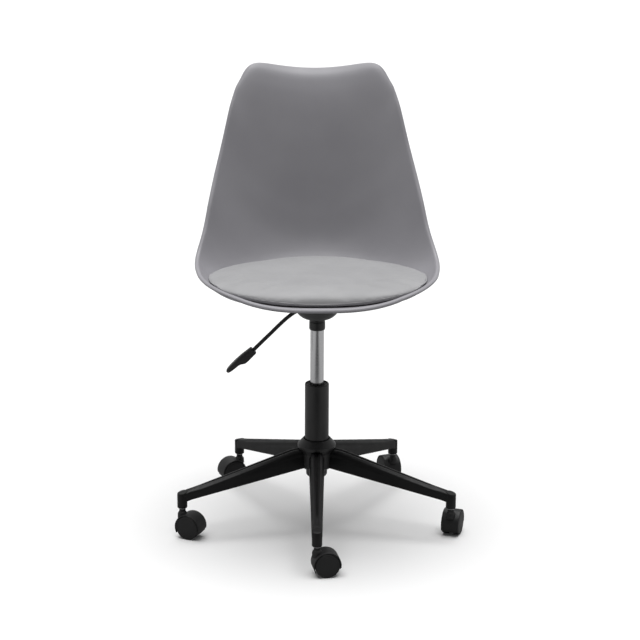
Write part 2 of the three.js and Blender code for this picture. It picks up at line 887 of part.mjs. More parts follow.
const column = new THREE.Group();
chair.add(column);
place(column, "inner_cylinder", cylinderGeometry(), CHROME);
place(column, "release_button", buttonGeometry(), BRIGHT_STEEL);
place(column, "piston_rod", rodGeometry(), BRIGHT_STEEL);
place(column, "outer_tube", tubeGeometry(), BLACK_STEEL);
place(column, "guide_bush", bushGeometry(), BLACK_PLASTIC);
for (const [name, outer, low, high, material] of ROD_PARTS) {
  place(column, name, ring(ROD.radius + GAP, outer, low, high, 14), material);
}

const base = new THREE.Group();
base.rotation.z = ARM.turnDeg * DEG;
chair.add(base);
place(base, "base_hub", hubGeometry(), BLACK_STEEL);
for (let i = 0; i < ARM.count; i++) {
  const armDeg = -90 + (360 / ARM.count) * i;
  const spoke = new THREE.Group();
  spoke.rotation.z = armDeg * DEG;
  base.add(spoke);
  place(spoke, `arm_${i + 1}`, armGeometry(), BLACK_STEEL);
  place(spoke, `caster_socket_${i + 1}`, socketGeometry(), BLACK_STEEL);
  const caster = new THREE.Group();
  caster.position.x = SOCKET.circle;
  caster.rotation.z = (TRAIL_DEG[i] - armDeg - ARM.turnDeg) * DEG;
  spoke.add(caster);
  place(caster, `caster_stem_${i + 1}`, stemGeometry(), BRIGHT_STEEL);
  place(caster, `caster_hood_${i + 1}`, hoodGeometry(), BLACK_PLASTIC);
  place(caster, `caster_axle_${i + 1}`, axleGeometry(), BRIGHT_STEEL);
  place(caster, `wheel_left_${i + 1}`, wheelGeometry(1), BLACK_PLASTIC);
  place(caster, `wheel_right_${i + 1}`, wheelGeometry(-1), BLACK_PLASTIC);
}

// The row's origin is on the floor under the middle of the whole chair.
chair.position.set(FOOTPRINT_SHIFT.x, FOOTPRINT_SHIFT.y, 0);

export default chair;
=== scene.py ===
"""Studio picture of a height-adjustable swivel chair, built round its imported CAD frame.

Lengths are in millimetres in the design below and become metres when a mesh is made.
The design's origin is on the floor under the gas column: +X to the sitter's left, +Y to the back.
"""

import math

import bmesh
import bpy
import numpy as np
from mathutils import Matrix, Vector


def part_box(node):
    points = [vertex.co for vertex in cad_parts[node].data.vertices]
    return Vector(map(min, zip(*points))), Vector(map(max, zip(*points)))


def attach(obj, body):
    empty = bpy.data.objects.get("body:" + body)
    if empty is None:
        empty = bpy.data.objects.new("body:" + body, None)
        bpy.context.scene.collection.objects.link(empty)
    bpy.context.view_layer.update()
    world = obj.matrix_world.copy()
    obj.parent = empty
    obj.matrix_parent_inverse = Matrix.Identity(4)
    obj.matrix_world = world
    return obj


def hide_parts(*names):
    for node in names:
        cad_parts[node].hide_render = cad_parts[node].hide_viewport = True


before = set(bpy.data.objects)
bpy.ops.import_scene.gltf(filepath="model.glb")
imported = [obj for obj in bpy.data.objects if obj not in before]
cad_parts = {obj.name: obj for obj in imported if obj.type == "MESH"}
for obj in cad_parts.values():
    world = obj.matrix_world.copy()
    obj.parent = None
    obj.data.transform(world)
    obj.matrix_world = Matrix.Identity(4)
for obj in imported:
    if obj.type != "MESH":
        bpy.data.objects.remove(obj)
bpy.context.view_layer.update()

MM = 0.001
TURN = 2 * math.pi

# ---------- places, from the frame ----------


def centre(node):
    low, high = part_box(node)
    return (low + high) / 2


def low_z(node):
    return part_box(node)[0].z / MM


def high_z(node):
    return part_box(node)[1].z / MM


def radius_of(node):
    low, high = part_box(node)
    return (high.y - low.y) / 2 / MM


def extent(node):
    """The radius, foot and top of a round node."""
    return radius_of(node), low_z(node), high_z(node)


COLUMN = centre("outer_tube").copy()
COLUMN.z = 0
AT_COLUMN = Matrix.Translation(COLUMN)
COUNT = 5

# ---------- driving dimensions ----------

# The curves of the shell run through its wall's middle; v is 0 at the front lip and 1 at the top.
SHELL = {"wall": 5, "rim": 3.1, "flange": 0.6, "columns": 72, "rows": 126, "ears": 34, "pan_end": 0.49}
CENTRE_LINE = [
    (-219, 521), (-178, 514.5), (-130, 509), (-70, 504), (0, 501), (75, 502), (135, 519), (170, 560),
    (186, 625), (200, 715), (213, 788), (228, 848), (241, 882), (253.5, 904), (266.5, 915),
]
SIDE_RIM = [
    (151, -192, 534.5), (190, -163, 542.5), (219.5, -119, 548.5), (237, -48, 551.5), (241.5, 30, 563),
    (227, 78, 610), (216.5, 108, 660), (205.5, 140, 708), (190.5, 172, 768), (173.5, 201, 841),
    (166.5, 214, 865), (160.5, 224, 884), (157, 231, 893.5), (153.7, 238, 900), (150.5, 244.5, 905.5),
]
BOSS = {"x": 70, "y": 60, "radius": 9, "bore": 3.4}

PAD = {
    "y": -31, "width": 225, "depth": 177, "corner": 2.4, "crown": 550, "lean": 0.03, "dip": 3,
    "shoulder": 0.76, "turn": 1.85, "clear": 1.5, "edge": 8, "side_edge": 1, "thin": 2,
    "most_lift": 1.5, "voxel": 5, "welt": 1.3,
}

DISH = {"neck": 18, "bulge": 31, "drop": 37, "wall": 2, "flange": 56}
LEVER_SLOT = ((-57, -5, 447.5), (-33, 5, 466.5))
COLLAR = {"foot": 2.4, "groove": 17.5, "groove_depth": 0.9}
SCREW = {"shank": 3, "head": 6, "depth": 3.4, "hexagon": 2.6, "tip": 12}
LEVER_PATH = [(11, 467.5), (-12, 467.1), (-42, 457.5), (-62, 443.5), (-98, 408.3), (-147.8, 358.4)]
LEVER_RADIUS = 4.0
GRIP = {"bore": 24, "width": 18}
CYLINDER = {"bore": 11, "rod_bore": 5.4, "end": 10}
TUBE = {"wall": 2.1, "foot": 21.8, "rod_bore": 5.4}
GAP = 0.4

HUB = {
    "body": 37, "ring": 40, "lip": 28.5, "ring_low": 163.5, "ring_high": 170.5, "funnel": 6,
    "taper": 174, "foot": 22.8,
}
ARM = {
    "wall": 2.2, "top": 166.5, "fall": 0.279, "bottom": 123.5, "rise": 0.18, "dip": 3.5,
    "root_half": 15.5, "tip_half": 10, "groove": 4, "groove_end": 278, "crease": 0.2,
    "recess": 3.4, "recess_gap": 2.0, "peak": 0.5,
}
SOCKET = {"radius": 10.3, "bore": 5.9, "bore_end": 87}
CASTER = {
    "web": 4, "in": 25.9, "out": 27.7, "half": 18, "from": -12, "to": 208, "neck": 6.5, "neck_top": 60.4,
    "neck_foot": 40, "stem_bore": 4.3, "stem_end": 47, "web_low": 19.6,
}
WHEEL = {"radius": 25, "in": 5, "out": 18.3, "axle": 4}

# ---------- small tools ----------


def lerp(a, b, t):
    return a + (b - a) * t


def smooth(low, high, value):
    t = np.clip((np.asarray(value, float) - low) / (high - low), 0, 1)
    return t * t * (3 - 2 * t)


def curve_through(points, t):
    """Centripetal Catmull-Rom curve through the points, at each parameter 0 to 1 of the array t."""
    p = np.array(points, float)
    whole = np.vstack([2 * p[0] - p[1], p, 2 * p[-1] - p[-2]])
    place = np.clip(np.asarray(t, float), 0, 1) * (len(p) - 1)
    i = np.minimum(place.astype(int), len(p) - 2)
    w = (place - i)[..., None]
    a, b, c, d = (whole[i + k] for k in range(4))

    def gap(m, n):
        return np.sqrt(np.linalg.norm(n - m, axis=-1, keepdims=True))

    ab, bc, cd = gap(a, b), gap(b, c), gap(c, d)
    start = ((b - a) / ab - (c - a) / (ab + bc) + (c - b) / bc) * bc
    end = ((c - b) / bc - (d - b) / (bc + cd) + (d - c) / cd) * bc
    square = -3 * b + 3 * c - 2 * start - end
    cube = 2 * b - 2 * c + start + end
    return b + start * w + square * w**2 + cube * w**3


def eased(outline, radius, closed=False, steps=4):
    """The outline with each corner rounded by at most that radius."""
    p = [np.array(q, float) for q in outline]
    made = []
    for i, corner in enumerate(p):
        if not closed and i in (0, len(p) - 1):
            made.append(corner)
            continue
        before, after = p[i - 1], p[(i + 1) % len(p)]
        reach_b, reach_a = np.linalg.norm(before - corner), np.linalg.norm(after - corner)
        cut = min(radius, 0.45 * reach_b, 0.45 * reach_a)
        first = corner + (before - corner) / reach_b * cut
        last = corner + (after - corner) / reach_a * cut
        for k in range(steps + 1):
            t = k / steps
            made.append(first * (1 - t) ** 2 + corner * 2 * t * (1 - t) + last * t**2)
    return made


def strip_faces(rings, size, closed_along=False):
    """Quads between successive rings of the same size."""
    faces = []
    pairs = rings if closed_along else rings - 1
    for k in range(pairs):
        for i in range(size):
            j = (i + 1) % size
            a, b = k * size, ((k + 1) % rings) * size
            faces.append((a + i, a + j, b + j, b + i))
    return faces


def round_angles(count):
    return np.arange(count) / count * TURN


def tube_faces(rings, size):
    """The quads of a run of rings, with one face over each end."""
    last = (rings - 1) * size
    return strip_faces(rings, size) + [tuple(range(size)), tuple(range(last, last + size))]


def lathe(profile, segments=96, closed=True):
    """Points and faces of a profile of (radius, z) turned about Z; an open profile ends on the axis."""
    points, faces = [], []
    angles = round_angles(segments)
    body = list(profile) if closed else list(profile)[1:-1]
    for r, z in body:
        points += [(r * math.cos(a), r * math.sin(a), z) for a in angles]
    faces = strip_faces(len(body), segments, closed)
    if not closed:
        first, last = len(points), len(points) + 1
        points += [(0, 0, profile[0][1]), (0, 0, profile[-1][1])]
        end = (len(body) - 1) * segments
        for i in range(segments):
            j = (i + 1) % segments
            faces.append((first, j, i))
            faces.append((last, end + i, end + j))
    return points, faces


def make(name, points, faces, material, place=AT_COLUMN, sharp=38):
    """A mesh object of points in millimetres, smooth except at edges sharper than that angle."""
    mesh = bpy.data.meshes.new(name)
    mesh.from_pydata([tuple(np.array(p, float) * MM) for p in points], [], faces)
    tidy(mesh)
    mesh.shade_smooth()
    mesh.set_sharp_from_angle(angle=math.radians(sharp))
    mesh.materials.append(material)
    return show(name, mesh, place)


def show(name, data, place=Matrix()):
    """An object of that mesh, light or camera, put in the scene."""
    piece = bpy.data.objects.new(name, data)
    bpy.context.scene.collection.objects.link(piece)
    piece.matrix_world = place
    return piece


def tidy(mesh):
    """Merges doubled points and turns every face outwards."""
    bm = bmesh.new()
    bm.from_mesh(mesh)
    bmesh.ops.remove_doubles(bm, verts=bm.verts, dist=1e-6)
    bmesh.ops.recalc_face_normals(bm, faces=bm.faces)
    bm.to_mesh(mesh)
    bm.free()


def settle(piece, sharp=38):
    """Applies the piece's modifiers to its mesh."""
    bpy.context.view_layer.update()
    seen = piece.evaluated_get(bpy.context.evaluated_depsgraph_get())
    mesh = bpy.data.meshes.new_from_object(seen)
    piece.modifiers.clear()
    piece.data = mesh
    mesh.shade_smooth()
    mesh.set_sharp_from_angle(angle=math.radians(sharp))


def combine(piece, tools, operation, sharp=38):
    """Joins tools to a piece, or cuts them from it, and removes them."""
    for tool in tools:
        step = piece.modifiers.new("step", "BOOLEAN")
        step.operation = operation
        step.solver = "EXACT"
        step.object = tool
    settle(piece, sharp)
    for tool in tools:
        bpy.data.objects.remove(tool)


def fit(piece, body, slot, *nodes):
    """The piece rides on a body and stands for CAD nodes, which it hides; the slot is not used."""
    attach(piece, body)
    if nodes:
        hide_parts(*nodes)


def turned(name, outline, ease, segments, material, *fitted):
    """A ring or a tube turned about Z from a closed outline whose corners are eased."""
    fit(make(name, *lathe(eased(outline, ease, closed=True), segments), material), *fitted)


def subdivide(piece, sharp):
    finer = piece.modifiers.new("finer", "SUBSURF")
    finer.levels = finer.render_levels = 1
    settle(piece, sharp)


# ---------- materials ----------


NOISE_SPREAD = (0.3, 0.7)


def map_range(tree, value, limits, kind="LINEAR"):
    """The value carried from the first two of the limits to the last two."""
    spread = tree.nodes.new("ShaderNodeMapRange")
    spread.interpolation_type = kind
    for name, limit in zip(("From Min", "From Max", "To Min", "To Max"), limits):
        spread.inputs[name].default_value = limit
    tree.links.new(value, spread.inputs["Value"])
    return spread.outputs["Result"]


class Finish:
    """A procedural material: a Principled shader with noise for its colour, gloss and surface."""

    def __init__(self, name, roughness, metallic=0.0, specular=0.5):
        self.material = bpy.data.materials.new(name)
        self.material.use_nodes = True
        self.tree = self.material.node_tree
        self.nodes, self.links = self.tree.nodes, self.tree.links
        self.shader = self.nodes["Principled BSDF"]
        self.shader.inputs["Roughness"].default_value = roughness
        self.shader.inputs["Metallic"].default_value = metallic
        self.shader.inputs["Specular IOR Level"].default_value = specular
        self.where = self.nodes.new("ShaderNodeTexCoord").outputs["Object"]
        self.height = None

    def noise(self, scale, detail=4.0, stretch=None):
        texture = self.nodes.new("ShaderNodeTexNoise")
        texture.inputs["Scale"].default_value = scale
        texture.inputs["Detail"].default_value = detail
        where = self.where
        if stretch:
            mapping = self.nodes.new("ShaderNodeMapping")
            mapping.inputs["Scale"].default_value = stretch
            self.links.new(where, mapping.inputs["Vector"])
            where = mapping.outputs["Vector"]
        self.links.new(where, texture.inputs["Vector"])
        return texture.outputs["Fac"]

    def cells(self, scale):
        texture = self.nodes.new("ShaderNodeTexVoronoi")
        texture.feature = "SMOOTH_F1"
        texture.inputs["Scale"].default_value = scale
        self.links.new(self.where, texture.inputs["Vector"])
        return texture.outputs["Distance"]

    def colour(self, dark, light, scale, stretch=None):
        """A colour that wanders between two."""
        ramp = self.nodes.new("ShaderNodeValToRGB")
        for key, position, colour in zip(ramp.color_ramp.elements, NOISE_SPREAD, (dark, light)):
            key.position, key.color = position, (*colour, 1)
        self.links.new(self.noise(scale, stretch=stretch), ramp.inputs["Fac"])
        self.links.new(ramp.outputs["Color"], self.shader.inputs["Base Color"])

    def gloss(self, low, high, scale, stretch=None):
        """Roughness that wanders between two values."""
        value = map_range(self.tree, self.noise(scale, stretch=stretch), (*NOISE_SPREAD, low, high))
        self.links.new(value, self.shader.inputs["Roughness"])

    def relief(self, value, depth, strength=1.0):
        """Adds a bump of that depth in millimetres on top of the earlier ones."""
        bump = self.nodes.new("ShaderNodeBump")
        bump.inputs["Distance"].default_value = depth * MM
        bump.inputs["Strength"].default_value = strength
        self.links.new(value, bump.inputs["Height"])
        if self.height is not None:
            self.links.new(self.height, bump.inputs["Normal"])
        self.height = bump.outputs["Normal"]
        self.links.new(self.height, self.shader.inputs["Normal"])


def pad_leather():
    """Grey artificial leather with a fine pebbled grain."""
    made = Finish("artificial_leather", 0.5, specular=0.4)
    made.colour((0.333, 0.333, 0.340), (0.366, 0.366, 0.373), 14)
    made.gloss(0.44, 0.58, 40)
    made.relief(made.cells(620), 0.16, 0.35)
    made.relief(made.noise(260, 5), 0.12, 0.25)
    made.shader.inputs["Sheen Weight"].default_value = 0.12
    made.shader.inputs["Sheen Roughness"].default_value = 0.4
    return made.material


def finish(name, roughness, colour, gloss, *reliefs, metallic=0.0, specular=0.5):
    """A material of noise alone; each relief is a noise with its depth and strength."""
    made = Finish(name, roughness, metallic, specular)
    made.colour(*colour)
    if gloss:
        made.gloss(*gloss)
    for noise, depth, strength in reliefs:
        made.relief(made.noise(*noise), depth, strength)
    return made.material


def black_plastic(name, tone, low, high):
    """Black nylon with an eroded mould texture."""
    colour = (tone, tone, tone * 1.04), (tone * 1.35, tone * 1.35, tone * 1.4), 45
    return finish(name, (low + high) / 2, colour, (low, high, 80), ((1100, 3), 0.06, 0.4), specular=0.45)


LEATHER = pad_leather()
NYLON = black_plastic("black_nylon", 0.010, 0.42, 0.55)
GRIP_PLASTIC = black_plastic("grip_plastic", 0.026, 0.34, 0.46)

# Grey polypropylene with a fine matt mould texture.
SHELL_FINISH = finish(
    "moulded_polypropylene", 0.45, ((0.300, 0.294, 0.316), (0.322, 0.316, 0.338), 9), (0.40, 0.52, 22),
    ((900, 3), 0.05, 0.35), ((14, 2), 0.6, 0.10), specular=0.45,
)
# Black powder coat on steel: satin, with a slight orange peel. It is duller on the base's castings.
POWDER = finish(
    "black_powder_coat", 0.34, ((0.0105, 0.0105, 0.011), (0.0145, 0.0145, 0.015), 30), (0.28, 0.42, 60),
    ((420, 2), 0.06, 0.4), specular=0.55,
)
CAST = finish(
    "black_base_coat", 0.42, ((0.0060, 0.0060, 0.0063), (0.0085, 0.0085, 0.0088), 30), (0.36, 0.48, 60),
    ((420, 2), 0.06, 0.4), specular=0.30,
)
# Black stove enamel on the pressings of the seat plate.
ENAMEL = finish(
    "black_enamel", 0.5, ((0.052, 0.052, 0.053), (0.066, 0.066, 0.067), 24), (0.42, 0.56, 35),
    ((300, 2), 0.06, 0.35),
)
# Hard chrome ground round the column, with faint vertical wear.
CHROME = finish(
    "hard_chrome", 0.2, ((0.58, 0.58, 0.59), (0.66, 0.66, 0.67), 18, (1, 1, 0.1)),
    (0.16, 0.26, 60, (0.3, 0.3, 12)), ((300, 2, (0.2, 0.2, 14)), 0.01, 0.3), metallic=1.0,
)
# Zinc-plated turned steel.
STEEL = finish(
    "plated_steel", 0.3, ((0.42, 0.42, 0.43), (0.56, 0.56, 0.57), 70), (0.26, 0.42, 90),
    ((600, 2), 0.02, 0.3), metallic=1.0,
)
RUBBER = finish(
    "black_rubber", 0.8, ((0.010, 0.010, 0.010), (0.016, 0.016, 0.016), 60), None,
    ((700, 3), 0.08, 0.5), specular=0.3,
)
# The thin plywood board under the foam.
WOOD = finish(
    "plywood", 0.65, ((0.30, 0.19, 0.10), (0.46, 0.31, 0.17), 26, (0.25, 6, 6)), None,
    ((200, 4, (0.1, 4, 4)), 0.1, 0.5), specular=0.3,
)

# ---------- bucket shell ----------


def shell_point(u, v):
    """Middle of the shell's wall: u is -1 to 1 across, v is 0 at the front lip and 1 at the top."""
    across = np.abs(u)
    middle = curve_through(CENTRE_LINE, v)
    rim = curve_through(SIDE_RIM, v)
    bow = lerp(2.9, 2.2, smooth(0, 0.12, v))
    rise = lerp(2.8, 6, smooth(0, 0.16, v)) - 3.8 * smooth(0.3, 0.57, v)
    ears = SHELL["ears"] * smooth(0.66, 1, v) * (across**2 - across**10)
    x = rim[..., 0] * u
    y = lerp(middle[..., 0], rim[..., 1], across**bow)
    z = lerp(middle[..., 1], rim[..., 2], across**rise) + ears
    return np.stack([x, y, z], axis=-1)


def unit(vectors):
    return vectors / np.linalg.norm(vectors, axis=-1, keepdims=True)


def shell_normal(u, v):
    """The wall's normal, on the sitter's side."""
    step = 0.004
    along = shell_point(np.minimum(u + step, 1), v) - shell_point(np.maximum(u - step, -1), v)
    up = shell_point(u, np.minimum(v + step, 1)) - shell_point(u, np.maximum(v - step, 0))
    return unit(np.cross(along, up))


def pan_height(x, y):
    """Height of the pan's upper face at points in plan."""
    x, y = np.asarray(x, float), np.asarray(y, float)
    low, high = np.zeros_like(x), np.full_like(x, SHELL["pan_end"])
    for _ in range(26):
        v = (low + high) / 2
        u = np.minimum(np.abs(x) / curve_through(SIDE_RIM, v)[..., 0], 1)
        before = shell_point(u, v)[..., 1] < y
        low, high = np.where(before, v, low), np.where(before, high, v)
    u = np.minimum(np.abs(x) / curve_through(SIDE_RIM, low)[..., 0], 1)
    lift = SHELL["wall"] / 2 / np.maximum(shell_normal(u, low)[..., 2], 0.5)
    return shell_point(u, low)[..., 2] + lift


def shell_rings(points, normals, edge):
    """Rows beyond the skin's edge: the rim rolls outwards and ends in a short rounded flange."""
    rim_points, rim_normals = points[edge], normals[edge]
    along = np.roll(rim_points, -1, axis=0) - np.roll(rim_points, 1, axis=0)
    out = unit(np.cross(along, rim_normals))
    for _ in range(6):
        out = unit(np.roll(out, 1, axis=0) + 2 * out + np.roll(out, -1, axis=0))
    rings = []
    for turn in np.linspace(0, math.pi / 2, 9)[1:]:
        middle = rim_points + out * SHELL["rim"] * math.sin(turn)
        middle = middle - rim_normals * SHELL["rim"] * (1 - math.cos(turn))
        facing = rim_normals * math.cos(turn) + out * math.sin(turn)
        rings.append((middle, facing))
    middle, facing = rings[-1]
    rings.append((middle - rim_normals * SHELL["flange"], facing))
    return rings, rim_normals


def shell_mesh():
    rows, columns, half = SHELL["rows"], SHELL["columns"], SHELL["wall"] / 2
    spread = 1.25
    u = np.sin(np.linspace(-spread, spread, columns + 1)) / math.sin(spread)
    v = np.linspace(0, 1, rows + 1)
    grid_u, grid_v = np.meshgrid(u, v)
    points = shell_point(grid_u, grid_v).reshape(-1, 3)
    normals = shell_normal(grid_u, grid_v).reshape(-1, 3)

    def at(i, j):
        return j * (columns + 1) + i

    edge = [at(i, 0) for i in range(columns)]
    edge += [at(columns, j) for j in range(rows)]
    edge += [at(i, rows) for i in range(columns, 0, -1)]
    edge += [at(0, j) for j in range(rows, 0, -1)]
    rings, rim_normals = shell_rings(points, normals, edge)
    middles = np.vstack([points] + [m for m, _ in rings])
    facings = np.vstack([normals] + [f for _, f in rings])
    count, size = len(middles), len(edge)

    def ring_id(k, i):
        return edge[i % size] if k < 0 else len(points) + k * size + i % size

    quads = [
        (at(i, j), at(i + 1, j), at(i + 1, j + 1), at(i, j + 1)) for j in range(rows) for i in range(columns)
    ]
    quads += [
        (ring_id(k, i), ring_id(k + 1, i), ring_id(k + 1, i + 1), ring_id(k, i + 1))
        for k in range(-1, len(rings) - 1)
        for i in range(size)
    ]
    faces = quads + [tuple(count + n for n in reversed(q)) for q in quads]

    # The flange's edge is a half circle from the face to the back.
    last_middle, last_facing = rings[-1]
    steps = 5
    caps = [[ring_id(len(rings) - 1, i) for i in range(size)]]
    extra = []
    for k in range(1, steps):
        turn = math.pi * k / steps
        extra.append(last_middle + half * (last_facing * math.cos(turn) - rim_normals * math.sin(turn)))
        caps.append([2 * count + (k - 1) * size + i for i in range(size)])
    caps.append([count + ring_id(len(rings) - 1, i) for i in range(size)])
    for first, second in zip(caps, caps[1:]):
        for i in range(size):
            j = (i + 1) % size
            faces.append((first[i], second[i], second[j], first[j]))
    whole = np.vstack([middles + facings * half, middles - facings * half] + extra)
    return whole, faces


def boss_mesh(x, y):
    """A screw boss that flares into the pan's underside."""
    low = high_z("seat_plate") + GAP
    top = float(pan_height(x, y)) - SHELL["wall"] * 0.6
    radius, bore = BOSS["radius"], BOSS["bore"]
    flare = [(radius + 3.5 * (1 - math.cos(t)), top - 3.5 * (1 - math.sin(t))) for t in (0, 0.5, 1.0, 1.5)]
    profile = [(bore, low), (radius - 0.8, low), (radius, low + 0.8), *flare, (bore, top)]
    points, faces = lathe(profile, 40)
    return [(px + x, py + y, pz) for px, py, pz in points], faces


def build_shell():
    points, faces = shell_mesh()
    shell = make("bucket_shell", points, faces, SHELL_FINISH, sharp=60)
    bosses = []
    for sx, sy in ((1, 1), (-1, 1), (-1, -1), (1, -1)):
        points, faces = boss_mesh(sx * BOSS["x"], sy * BOSS["y"])
        bosses.append(make("boss", points, faces, SHELL_FINISH))
    combine(shell, bosses, "UNION", sharp=60)
    fit(shell, "seat", "shell_plastic", "shell")


# ---------- seat pad ----------


def pad_underside(x, y):
    floor = pan_height(x, y) + PAD["clear"]
    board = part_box("cushion_board")
    top = board[1].z / MM + 0.6
    reach = max(board[1].x - board[0].x, board[1].y - board[0].y) / 2 / MM
    near = 1 - smooth(reach, reach + 30, np.hypot(x, np.asarray(y) - PAD["y"]))
    return np.maximum(floor, lerp(floor, top, near))


def pad_outline(angles):
    """The pad's outline in plan, 1 to 1: an ellipse at the back, with fuller corners at the front."""
    c, s = np.cos(angles), np.sin(angles)
    power = np.where(s < 0, PAD["corner"], 2.0)
    reach = (np.abs(c) ** power + np.abs(s) ** power) ** (-1 / power)
    return reach * c, reach * s


def pad_start():
    """The pad before it fills: crowned, with a rounded shoulder that meets the pan at its foot."""
    around = 120
    angles = round_angles(around)
    wide, deep = pad_outline(angles)
    shoulder, turn = PAD["shoulder"], PAD["turn"]
    edge = lerp(PAD["side_edge"], PAD["edge"], smooth(0.05, 0.9, -deep))
    over = lerp(shoulder, 1, np.sin(np.linspace(0.12, 1.571, 14)))
    scales = np.concatenate([np.linspace(0.04, shoulder, 16), over])
    rings = []
    for scale in scales:
        x, y = PAD["width"] * scale * wide, PAD["depth"] * scale * deep
        inset = min(scale, 0.995) / scale
        foot = pad_underside(x * inset, PAD["y"] + y * inset) + edge
        crown = PAD["crown"] - PAD["lean"] * y - PAD["dip"] * (x / PAD["width"]) ** 2
        t = max(0.0, (scale - shoulder) / (1 - shoulder))
        z = foot + np.maximum(crown - foot, PAD["thin"]) * (1 - t**turn) ** (1 / turn)
        rings.append(np.stack([x, PAD["y"] + y, z], axis=-1))
    for scale in (0.985, 0.93, 0.84, 0.7, 0.5, 0.3, 0.1):
        x = PAD["width"] * scale * wide
        y = PAD["y"] + PAD["depth"] * scale * deep
        rings.append(np.stack([x, y, pad_underside(x, y)], axis=-1))
    return np.vstack(rings), tube_faces(len(rings), around)


def fill_with_foam(pad, pressure, cap):
    """Cloth pushed out by the foam inside it; no point moves further than the cap, in millimetres."""
    rest = np.array([v.co for v in pad.data.vertices])
    held = pad.vertex_groups.new(name="held")
    under = [v.index for v in pad.data.vertices if v.normal.z < -0.2]
    held.add(under, 0.9, "REPLACE")
    cloth = pad.modifiers.new("foam", "CLOTH")
    cloth.settings.quality = 5
    cloth.settings.mass = 0.3
    cloth.settings.tension_stiffness = 12
    cloth.settings.compression_stiffness = 12
    cloth.settings.bending_stiffness = 0.6
    cloth.settings.use_pressure = True
    cloth.settings.uniform_pressure_force = pressure
    cloth.settings.vertex_group_mass = "held"
    cloth.settings.effector_weights.gravity = 0
    cloth.point_cache.frame_start = 1
    cloth.point_cache.frame_end = 20
    scene = bpy.context.scene
    for step in range(1, 21):
        scene.frame_set(step)
    seen = pad.evaluated_get(bpy.context.evaluated_depsgraph_get())
    moved = np.array([v.co for v in seen.data.vertices])
    scene.frame_set(1)
    pad.modifiers.clear()
    pad.vertex_groups.clear()
    shift = moved - rest
    length = np.linalg.norm(shift, axis=1, keepdims=True)
    return rest + shift * np.minimum(1, cap * MM / np.maximum(length, 1e-9))


def ease_surface(pad):
    """Smooths the pad's surface a little."""
    ease = pad.modifiers.new("ease", "SMOOTH")
    ease.factor = 0.5
    ease.iterations = 4
    settle(pad, sharp=180)


def build_pad():
    points, faces = pad_start()
    pad = make("seat_pad", points, faces, LEATHER, sharp=180)
    remesh = pad.modifiers.new("even", "REMESH")
    remesh.mode = "VOXEL"
    remesh.voxel_size = PAD["voxel"] * MM
    settle(pad, sharp=180)
    ease_surface(pad)
    keep_in_pan(pad, fill_with_foam(pad, 3.0, 2.0))
    ease_surface(pad)
    subdivide(pad, sharp=180)
    if not pad.data.materials:
        pad.data.materials.append(LEATHER)
    fit(pad, "seat", "pad_leather", "seat_cushion")
    welt = make("pad_welt", *loop_mesh(widest_line(pad), PAD["welt"]), LEATHER)
    fit(welt, "seat", "pad_leather")


def widest_line(pad):
    """The line round the pad where its top and its underside are sewn together, in millimetres."""
    around = 160
    points = np.array([v.co for v in pad.data.vertices]) / MM
    x, y = points[:, 0] / PAD["width"], (points[:, 1] - PAD["y"]) / PAD["depth"]
    reach, sector = np.hypot(x, y), np.floor(np.arctan2(y, x) / TURN * around).astype(int) % around
    line = np.array([points[sector == k][np.argmax(reach[sector == k])] for k in range(around)])
    for _ in range(12):
        line = (np.roll(line, 1, axis=0) + 2 * line + np.roll(line, -1, axis=0)) / 4
    return line


def loop_mesh(line, radius, around=12):
    """A round cord along a closed line."""
    ways = unit(np.roll(line, -1, axis=0) - np.roll(line, 1, axis=0))
    sides = unit(np.cross(ways, (0.0, 0.0, 1.0)))
    ups = np.cross(sides, ways)
    rings = [
        line[i] + radius * (math.cos(a) * sides[i] + math.sin(a) * ups[i])
        for i in range(len(line))
        for a in round_angles(around)
    ]
    return rings, strip_faces(len(line), around, closed_along=True)


def keep_in_pan(pad, places):
    """Puts the points at those places, lifted a little where they came too near to the pan."""
    floor = pan_height(places[:, 0] / MM, places[:, 1] / MM) + PAD["clear"]
    places[:, 2] += np.clip(floor * MM - places[:, 2], 0, PAD["most_lift"] * MM)
    pad.data.vertices.foreach_set("co", places.astype(np.float32).ravel())
    pad.data.update()


# ---------- under the seat ----------


def build_dish():
    top = high_z("plate_dish")
    rim = top - DISH["wall"]
    turns = np.linspace(0, math.pi / 2, 18)
    outside = [(DISH["neck"] + DISH["bulge"] * math.sin(t), rim - DISH["drop"] * math.cos(t)) for t in turns]
    inner, depth = DISH["bulge"] - DISH["wall"], DISH["drop"] - DISH["wall"]
    inside = [(DISH["neck"] + inner * math.sin(t), rim - depth * math.cos(t)) for t in turns]
    hole = radius_of("taper_socket") + GAP
    flange = eased([outside[-1], (DISH["flange"], rim), (DISH["flange"], top), (inside[-1][0], top)], 0.9)
    profile = [(hole, rim - DISH["drop"]), *outside[:-1], *flange, *inside[::-1], (hole, rim - depth)]
    dish = make("plate_bowl", *lathe(profile, 128), ENAMEL)
    slot = make("slot", *box_mesh(*LEVER_SLOT), ENAMEL)
    combine(dish, [slot], "DIFFERENCE")
    fit(dish, "seat", "black_steel", "plate_dish")


def box_mesh(low, high):
    points = [(x, y, z) for x in (low[0], high[0]) for y in (low[1], high[1]) for z in (low[2], high[2])]
    faces = [(0, 1, 3, 2), (4, 6, 7, 5), (0, 4, 5, 1), (2, 3, 7, 6), (0, 2, 6, 4), (1, 5, 7, 3)]
    return points, faces


def build_collar():
    """The taper socket, a short tube with a rolled foot and a shallow groove under the dish."""
    radius, low, high = extent("taper_socket")
    bore, foot, groove = radius_of("inner_cylinder") + GAP, COLLAR["foot"], low + COLLAR["groove"]
    inside = radius - COLLAR["groove_depth"]
    profile = [
        (bore, low), (radius - 1, low), (radius, low + foot), (radius, groove - 1), (inside, groove),
        (inside, groove + 1.1), (radius, groove + 2.1), (radius, high), (bore, high),
    ]
    turned("column_collar", profile, 0.9, 96, POWDER, "seat", "black_steel", "taper_socket")


